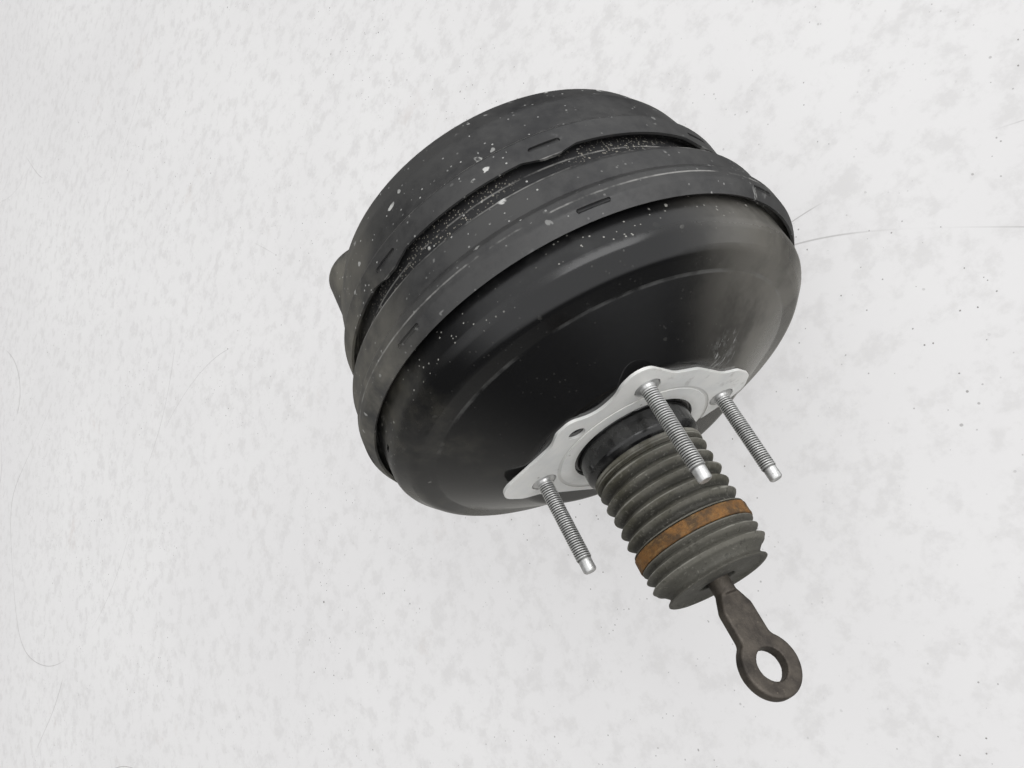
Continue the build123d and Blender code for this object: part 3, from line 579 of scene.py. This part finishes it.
frontStudSize = {
    "major": 4.0, "depth": 0.68, "pitch": 1.25, "threadStart": 171.0, "threadEnd": 191.6,
    "before": [(0, 161.3), (6.0, 161.3), (6.0, 164.3), (4.6, 164.3), (4.6, 168.7), (4.0, 168.75)],
    "after": [(3.0, 192.7), (0, 192.7)],
}
for node, x in {"front_stud_1": -42, "front_stud_2": 42}.items():
    threadedStud("threaded_" + node, x, 0, frontStudSize, "housing", node)
print("studs threaded")


boot = {
    "peak": 30.6, "valley": 27.0, "pitch": 7.1, "firstPeak": -21.2, "frontFolds": 5,
    "rearGap": 5.0, "rearPitch": 5.6, "rearFolds": 2, "cuffStart": -14.3, "cuffEnd": -18.9,
    "ringFront": -57.0, "ringRear": -63.8, "seat": 28.45, "lip": 30.0,
    "end": -83.5, "endRadius": 26.7, "waist": 24.6, "wall": 1.7, "bore": 27.6,
    "cuffBore": 28.45, "rodHole": 5.75,
    "tearTurn": 2.14, "tearLength": 4.6, "tearWithin": 12,   # the torn lip round the rod's hole
}
pistonTravel = 36.0      # how far the piston moves, and the boot's end with it


def foldRows(centre, half):
    # one fold from valley to valley, its flanks hollow and its crest a thin lip
    valley, steps = boot["valley"], 14
    rows = []
    for index in range(1, steps + 1):
        t = index / steps * 2 - 1
        lift = max(0.0, 1 - abs(t)) ** 1.3
        lift = min(lift, 0.94) + 0.06 * math.sin(math.pi / 2 * lift)
        rows.append((valley + (boot["peak"] - valley) * lift, centre - half * t))
    return rows


def frontBellowsRows():
    # the cuff on the neck, the front folds and the groove for the steel ring
    start, cuffEnd, ringFront = boot["cuffStart"], boot["cuffEnd"], boot["ringFront"]
    rows = [(29.2, start), (29.9, start - 0.25), (30.2, start - 0.8), (30.25, start - 1.9),
            (29.9, start - 2.3), (29.9, start - 2.6), (30.3, start - 2.9),
            (30.2, start - 3.4), (28.6, start - 3.9), (boot["valley"] + 0.6, start - 4.2)]
    for fold in range(boot["frontFolds"]):
        rows += foldRows(boot["firstPeak"] - boot["pitch"] * fold, boot["pitch"] / 2)
    rows += [(boot["valley"] + 0.1, ringFront + 2.6), (28.3, ringFront + 1.7),
             (boot["lip"], ringFront + 1.1), (boot["lip"], ringFront + 0.5),
             (boot["seat"], ringFront + 0.35)]
    rows = [row for index, row in enumerate(rows)
            if index == 0 or row[1] < rows[index - 1][1] - 0.02]
    wall, bore = boot["wall"], boot["bore"]
    inside = [(boot["cuffBore"] if y > cuffEnd else min(radius - wall, bore), y)
              for radius, y in rows]
    return rows + inside[::-1]


def seatRows():
    # the short stiff part under the steel ring, which moves with it
    front, rear = boot["ringFront"] + 0.35, boot["ringRear"] - 0.35
    inner = boot["seat"] - boot["wall"]
    return [(boot["seat"], front), (boot["seat"], rear), (inner, rear), (inner, front)]


def rearBellowsRows():
    # the rear folds, the waist behind them and the end disc with the rod's hole
    rear, end, waist = boot["ringRear"], boot["end"], boot["waist"]
    rows = [(boot["seat"], rear - 0.35), (boot["lip"], rear - 0.5), (boot["lip"], rear - 1.1),
            (28.4, rear - 1.7), (boot["valley"] + 0.6, rear - 2.2)]
    for fold in range(boot["rearFolds"]):
        centre = rear - boot["rearGap"] - boot["rearPitch"] * fold
        rows += foldRows(centre, boot["rearPitch"] / 2)
    rows = [row for row in rows if row[1] > rear - boot["rearGap"] - boot["rearPitch"] - 0.6]
    rows += [(29.4, end + 7.6), (28.1, end + 7.0), (26.9, end + 6.2), (25.9, end + 5.3),
             (25.1, end + 4.5), (waist, end + 3.7), (waist, end + 3.0), (25.0, end + 2.2),
             (26.0, end + 1.3), (26.6, end + 0.8), (boot["endRadius"], end + 0.35), (26.3, end + 0.05),
             (25.4, end), (24.2, end + 0.25), (23.6, end + 0.9), (23.0, end + 1.2), (16.0, end + 1.5),
             (10.0, end + 1.4), (8.4, end + 1.1), (boot["rodHole"] + 0.6, end + 0.6),
             (boot["rodHole"], end + 0.9), (boot["rodHole"], end + 2.6), (16.0, end + 3.1),
             (21.6, end + 3.3), (22.9, end + 4.2), (23.6, end + 5.2), (24.6, end + 6.6)]
    outside = [row for row in rows if row[1] > end + 7.2]
    inside = [(min(radius - boot["wall"], boot["bore"]), y)
              for radius, y in outside if y < rear - 0.34]
    return rows + inside[::-1]


def softReach(seed, calm):
    # slow waves round the rubber, none near the calm stations
    random.seed(seed)
    phase = [random.uniform(0, 6.28) for _ in range(4)]

    def reach(index, radius, y, turn):
        if radius < boot["tearWithin"]:
            tear = max(0.0, abs(math.cos(turn - boot["tearTurn"])) - 0.35) / 0.65
            ragged = 0.8 + 0.2 * math.sin(7 * turn + phase[3])
            return radius + boot["tearLength"] * tear ** 2.5 * ragged
        fade = min([1.0] + [abs(y - spot) / 4.0 for spot in calm])
        slow = 0.20 * math.sin(3 * turn + y * 0.35 + phase[0])
        slow += 0.12 * math.sin(5 * turn - y * 0.62 + phase[1])
        slow += 0.05 * math.sin(11 * turn + y * 1.1 + phase[2])
        return radius + (slow - 0.30) * fade

    return reach


def makeBoot():
    # three pieces, since the ring and its seat move with the fold rows on both sides
    front, rear = boot["ringFront"] + 0.35, boot["ringRear"] - 0.35
    calmFront = (boot["cuffStart"], boot["cuffStart"] - 4.0, front)
    mesh = turnedMesh("frontBellows", frontBellowsRows(), 120, closed=True,
                      radiusAt=softReach(7, calmFront), angle=50.0)
    bellows = newPiece("frontBellows", mesh, "boot_rubber", "housing", "dust_boot")
    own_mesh(bellows)
    mesh = turnedMesh("bootSeat", seatRows(), 120, closed=True, angle=50.0)
    newPiece("bootSeat", mesh, "boot_rubber", "boot_support")
    mesh = turnedMesh("rearBellows", rearBellowsRows(), 120, closed=True,
                      radiusAt=softReach(11, (rear,)), angle=50.0)
    bellows = newPiece("rearBellows", mesh, "boot_rubber", "boot_support")
    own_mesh(bellows)


band = {"inner": 28.5, "outer": 30.65, "pit": 0.09, "pitted": 29.6}


def makeRing():
    # the sprung steel band, its edges rolled and pitted
    front, rear, inner, outer = boot["ringFront"], boot["ringRear"], band["inner"], band["outer"]
    rows = [(inner, front - 0.5), (inner + 0.4, front), (outer - 0.55, front),
            (outer - 0.1, front - 0.35), (outer, front - 0.9), (outer - 0.12, front - 2.4),
            (outer - 0.12, rear + 2.4), (outer, rear + 0.9), (outer - 0.1, rear + 0.35),
            (outer - 0.55, rear), (inner + 0.4, rear), (inner, rear + 0.5)]

    def reach(index, radius, y, turn):
        pits = 0.05 * math.sin(13 * turn + y) + 0.04 * math.sin(29 * turn - 2 * y)
        return radius + (pits - band["pit"] if radius > band["pitted"] else 0.0)

    mesh = turnedMesh("steelRing", rows, 160, closed=True, radiusAt=reach, angle=40.0)
    newPiece("steelRing", mesh, "rusty_steel", "boot_support", "boot_ring")


fluff = {
    "rows": [(7.2, -79.6), (9.5, -80.3), (12.0, -80.2), (14.5, -79.4), (14.5, -77.5), (7.2, -77.5)],
    "lump": 0.7,
}


def makeFluff():
    # torn filter foam that shows beside the rod
    random.seed(5)
    rows = fluff["rows"]
    lumps = [(random.uniform(0, 6.28), random.randint(6, 15)) for _ in rows]

    def reach(index, radius, y, turn):
        shift, count = lumps[index]
        return radius + fluff["lump"] * math.sin(count * turn + shift)

    mesh = turnedMesh("filterFluff", rows, 90, closed=True, radiusAt=reach, angle=50.0)
    newPiece("filterFluff", mesh, "filter_foam", "power_piston")


makeBoot()
makeRing()
makeFluff()
print("boot, ring and foam made")


rod = {"node": "input_pushrod", "voxel": 0.00045, "passes": 12}
forged = forgedMesh("forgedRod", nodes[rod["node"]], rod["voxel"], rod["passes"])
newPiece("forgedRod", forged, "forged_steel", "push_rod", rod["node"])
print("push rod made")


def springTube(name, node, size, slot, anchorY, travel, body):
    # a wound wire swept as a tube, its end turns closed
    low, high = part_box(node)
    y0, y1 = low[1] / mm + size["wire"], high[1] / mm - size["wire"]
    turns = size["turns"] + 2 * size["closed"]
    steps, sides = int(turns * 44), 12
    work = bmesh.new()
    rings = []
    for index in range(steps + 1):
        turn = index / steps * turns
        share = min(1.0, max(0.0, (turn - size["closed"]) / size["turns"]))
        lead = 2 * math.pi * turn
        outward = Vector((math.sin(lead), 0, math.cos(lead)))
        middle = outward * size["radius"] + Vector((0, y0 + (y1 - y0) * share, 0))
        loop = []
        for side in range(sides):
            bend = 2 * math.pi * side / sides
            offset = outward * math.cos(bend) + Vector((0, 1, 0)) * math.sin(bend)
            loop.append(work.verts.new((middle + offset * size["wire"]) * mm))
        rings.append(loop)
    for first, second in zip(rings, rings[1:]):
        for side in range(sides):
            after = (side + 1) % sides
            work.faces.new((first[side], second[side], second[after], first[after]))
    work.faces.new(rings[0])
    work.faces.new(rings[-1][::-1])
    spring = newPiece(name, smoothMesh(work, name, 50.0), slot, body, node)
    length = abs(anchorY - (low[1] if anchorY > low[1] / mm + 1 else high[1]) / mm)
    1 - travel / length
    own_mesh(spring)


springs = {
    "returnCoil": {"node": "return_spring", "body": "housing", "joint": "piston_slide",
                   "anchor": 164.3, "travel": pistonTravel,
                   "size": {"radius": 33.4, "wire": 1.8, "turns": 4.0, "closed": 0.9}},
    "inputCoil": {"node": "input_spring", "body": "power_piston", "joint": "plunger_slide",
                  "anchor": -31.0, "travel": 1.5,
                  "size": {"radius": 15.0, "wire": 0.9, "turns": 2.4, "closed": 0.8}},
}
for name, coil in springs.items():
    springTube(name, coil["node"], coil["size"], "spring_steel", coil["anchor"],
               coil["travel"], coil["body"])


def skinMesh(name, points, skin):
    # a moulded rubber skin with fine radial ribs, turned from its middle line
    line = [Vector(point) for point in points]
    for _ in range(2):
        cut = [line[0]]
        for first, second in zip(line, line[1:]):
            cut += [first * 0.75 + second * 0.25, first * 0.25 + second * 0.75]
        line = cut + [line[-1]]
    sides = ([], [])
    for index, spot in enumerate(line):
        ahead = line[min(index + 1, len(line) - 1)] - line[max(index - 1, 0)]
        across = Vector((-ahead.y, ahead.x)).normalized() * (skin["thick"] / 2)
        sides[0].append((spot + across)[:])
        sides[1].append((spot - across)[:])

    def reach(index, radius, y, turn):
        return radius + skin["rib"] * math.sin(48 * turn)

    rows = sides[0] + sides[1][::-1]
    return turnedMesh(name, rows, 192, closed=True, radiusAt=reach, angle=50.0)


skins = {
    "rear": {"node": "rear_diaphragm", "thick": 1.8, "rib": 0.10, "anchor": 56.3, "keep": 0.15,
             "disc": [(28.3, 16.0), (62.7, 16.0), (98.6, 32.7)],
             "fold": [(98.6, 32.7), (101.0, 33.8), (109.0, 34.4), (116.7, 40.0), (116.7, 56.2),
                      (121.4, 58.3), (126.0, 58.4)]},
    "front": {"node": "front_diaphragm", "thick": 1.8, "rib": 0.10, "anchor": 105.0, "keep": 0.15,
              "disc": [(26.7, 89.8), (90.0, 89.8), (98.6, 89.4)],
              "fold": [(98.6, 89.4), (103.0, 87.3), (108.4, 91.0), (108.4, 105.7), (112.4, 106.4),
                       (117.0, 106.4)]},
}
for place, skin in skins.items():
    mesh = skinMesh(place + "Disc", skin["disc"], skin)
    newPiece(place + "Disc", mesh, "black_rubber", "power_piston", skin["node"])
    mesh = skinMesh(place + "Fold", skin["fold"], skin)
    fold = newPiece(place + "Fold", mesh, "black_rubber", "housing")
    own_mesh(fold)
print("springs and diaphragms made")


room = {
    "up": (0.840, -0.170, 0.515),    # where the soft light comes from
    "lamp": 15.0, "lampSize": 1.3, "lampAway": 1.9,
    "ceiling": 1.12, "walls": 0.075, "below": 0.33,   # brightness above, around and below
    "reach": 6.0,                    # half the floor's side, and the wall's radius and height
    "floorLift": 0.60,               # how much of the floor's colour shows without light
}


def floorPaint():
    # pale painted floor with chips, hairline scratches and faint stains
    floor = Finish("paleFloor")
    clouds = floor.noise(2.2, 5, 0.6)
    fine = floor.noise(60, 6, 0.68)
    color = floor.mix(floor.step(clouds, 0.3, 0.7), (0.880, 0.872, 0.868), (0.830, 0.820, 0.820))
    color = floor.mix(floor.step(fine, 0.46, 0.66) * 0.65, color, (0.735, 0.724, 0.720))
    smudge = floor.step(floor.noise(8, 5, 0.7), 0.62, 0.76)
    color = floor.mix(smudge * 0.45, color, (0.62, 0.56, 0.53))
    swept = floor.shaken(22, 0.008)
    clusters = floor.step(floor.noise(6, 3), 0.42, 0.60) * 0.8 + 0.2
    dots = floor.specks(110, 0.10, 0.16, swept) + floor.specks(48, 0.060, 0.14, swept)
    dots = (dots + floor.specks(240, 0.14, 0.20, swept)) * clusters
    color = floor.mix(dots * 0.80, color, (0.15, 0.14, 0.13))
    # hairlines run where a slow noise crosses one value, each in a few patches
    wave = floor.noise(1.7, 0, 0.4)
    longWave = floor.noise(1.3, 0, 0.4, (1.0, 1.8, 1.0))
    hair = floor.line(wave, 0.520, 0.0006) * floor.step(floor.noise(4, 1), 0.50, 0.54)
    hair = hair + floor.line(longWave, 0.468, 0.0005) * floor.step(floor.noise(5.3, 1), 0.52, 0.56)
    color = floor.mix(hair * 0.60, color, (0.42, 0.41, 0.40))
    floor.paint(Base_Color=color, Roughness=0.55)
    floor.bump(fine, 0.08, 0.001)
    rays = floor.node("ShaderNodeLightPath", output="Is Camera Ray")
    for ray in ("Is Glossy Ray", "Is Transmission Ray"):
        rays = rays + floor.node("ShaderNodeLightPath", output=ray)
    glow = floor.node("ShaderNodeEmission", {}, {"Color": color, "Strength": 1.0})
    blend = floor.node("ShaderNodeMixShader", {}, {
        0: rays * room["floorLift"], 1: Wire(floor, floor.shader.outputs[0]), 2: glow})
    floor.tree.links.new(blend.socket, floor.tree.nodes["Material Output"].inputs[0])
    return floor.material


def stageMesh(name, faces, material):
    work = bmesh.new()
    for corners in faces:
        work.faces.new([work.verts.new(corner) for corner in corners])
    bmesh.ops.remove_doubles(work, verts=work.verts, dist=0.001)
    mesh = bpy.data.meshes.new(name)
    work.to_mesh(mesh)
    work.free()
    mesh.materials.append(material)
    sheet = bpy.data.objects.new(name, mesh)
    bpy.context.scene.collection.objects.link(sheet)
    sheet.visible_glossy = False     # gloss shows the world's light and dark sides instead
    return sheet


def makeStage():
    # a level floor under everything
    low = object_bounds()[0]
    paint = floorPaint()
    reach, ground = room["reach"], low[2]
    square = [(x * reach, y * reach, ground) for x, y in ((-1, -1), (1, -1), (1, 1), (-1, 1))]
    stageMesh("paleFloor", [square], paint)
    # a pale round wall far behind, seen from low angles only
    turns = [2 * math.pi * step / 64 for step in range(65)]
    ring = [(reach * math.cos(turn), reach * math.sin(turn)) for turn in turns]
    panels = [[(*start, ground), (*end, ground), (*end, ground + reach), (*start, ground + reach)]
              for start, end in zip(ring, ring[1:])]
    wall = stageMesh("paleWall", panels, paint)
    wall.visible_diffuse = False
    wall.visible_shadow = False


def makeLights():
    # a bright ceiling over dark walls, a pale glow from below, and one soft lamp
    up = Vector(room["up"]).normalized()
    light = bpy.data.lights.new("softLamp", "AREA")
    light.size = room["lampSize"]
    light.energy = room["lamp"]
    holder = bpy.data.objects.new("softLamp", light)
    holder.location = up * room["lampAway"]
    holder.rotation_euler = (-up).to_track_quat("-Z", "Y").to_euler()
    bpy.context.scene.collection.objects.link(holder)
    sky = bpy.data.worlds.new("softRoom")
    sky.use_nodes = True
    tree = sky.node_tree
    place = tree.nodes.new("ShaderNodeTexCoord")
    height = tree.nodes.new("ShaderNodeVectorMath")
    height.operation = "DOT_PRODUCT"
    height.inputs[1].default_value = up * 0.5
    middle = tree.nodes.new("ShaderNodeMath")
    middle.inputs[1].default_value = 0.5
    ramp = tree.nodes.new("ShaderNodeValToRGB")
    stops = ramp.color_ramp
    stops.interpolation = "EASE"
    stops.elements.new(0.5)
    stops.elements.new(0.5)
    below, walls = room["below"], room["walls"]
    grey = [(0.14, (below, below * 0.98, below * 0.93)), (0.42, (walls, walls, walls)),
            (0.52, (walls, walls, walls)), (0.73, (0.985, 0.99, 1.0))]
    for element, (position, color) in zip(stops.elements, grey):
        element.position = position
        element.color = (*color, 1.0)
    tree.links.new(place.outputs["Generated"], height.inputs[0])
    tree.links.new(height.outputs["Value"], middle.inputs[0])
    tree.links.new(middle.outputs[0], ramp.inputs[0])
    background = tree.nodes["Background"]
    tree.links.new(ramp.outputs[0], background.inputs["Color"])
    background.inputs["Strength"].default_value = room["ceiling"]
    bpy.context.scene.world = sky


view = {
    "lens": 29.88, "place": (0.2013, -0.1584, 0.3658),
    "right": (0.600, -0.416, -0.683), "up": (0.623, 0.779, 0.073), "back": (0.502, -0.469, 0.727),
}


def makeCamera():
    lens = bpy.data.cameras.new("viewCamera")
    lens.lens = view["lens"]
    lens.sensor_width = 36.0
    lens.clip_start = 0.01
    camera = bpy.data.objects.new("viewCamera", lens)
    turn = Matrix((view["right"], view["up"], view["back"])).transposed()
    camera.matrix_world = Matrix.Translation(view["place"]) @ turn.to_4x4()
    bpy.context.scene.collection.objects.link(camera)
    bpy.context.scene.camera = camera


makeStage()
makeLights()
makeCamera()
bpy.context.scene.view_settings.view_transform = "Standard"
print("stage, lights and camera set")
